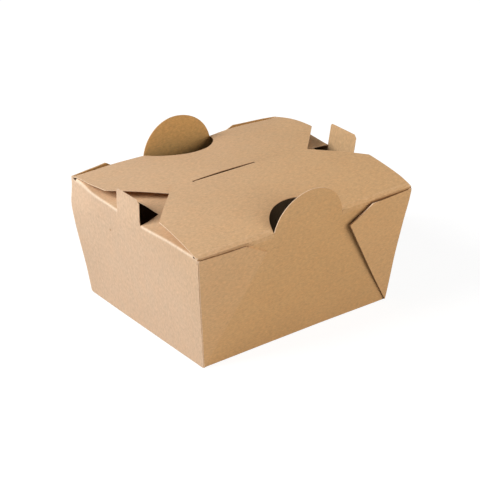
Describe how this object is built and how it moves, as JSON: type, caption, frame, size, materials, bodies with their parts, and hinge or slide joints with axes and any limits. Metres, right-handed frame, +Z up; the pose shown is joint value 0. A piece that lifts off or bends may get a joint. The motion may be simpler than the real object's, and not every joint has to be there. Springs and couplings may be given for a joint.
{
  "type": "takeaway box",
  "caption": "Kraft board takeaway box folded from one sheet, with a flared tub, webbed corners, a tongue lock, round finger tabs and a hinged front flap.",
  "frame": {"origin": "middle of the floor's underside", "axes": "+X along the box's longer side, +Y from the hinged front flap to the back, +Z up"},
  "size_m": [0.134, 0.1173, 0.0796],
  "materials": {
    "kraft_board": "uncoated kraft board, matt outside with a faint fibre grain"
  },
  "bodies": {
    "carton": {"carton": "kraft_board"},
    "front_flap": {"front_flap": "kraft_board"}
  },
  "joints": [
    {"name": "front_flap_hinge", "type": "hinge", "parent": "carton", "child": "front_flap", "pos_m": [0, -0.0518, 0.0626], "axis": [1, 0, 0], "range_deg": [0, 180]}
  ]
}
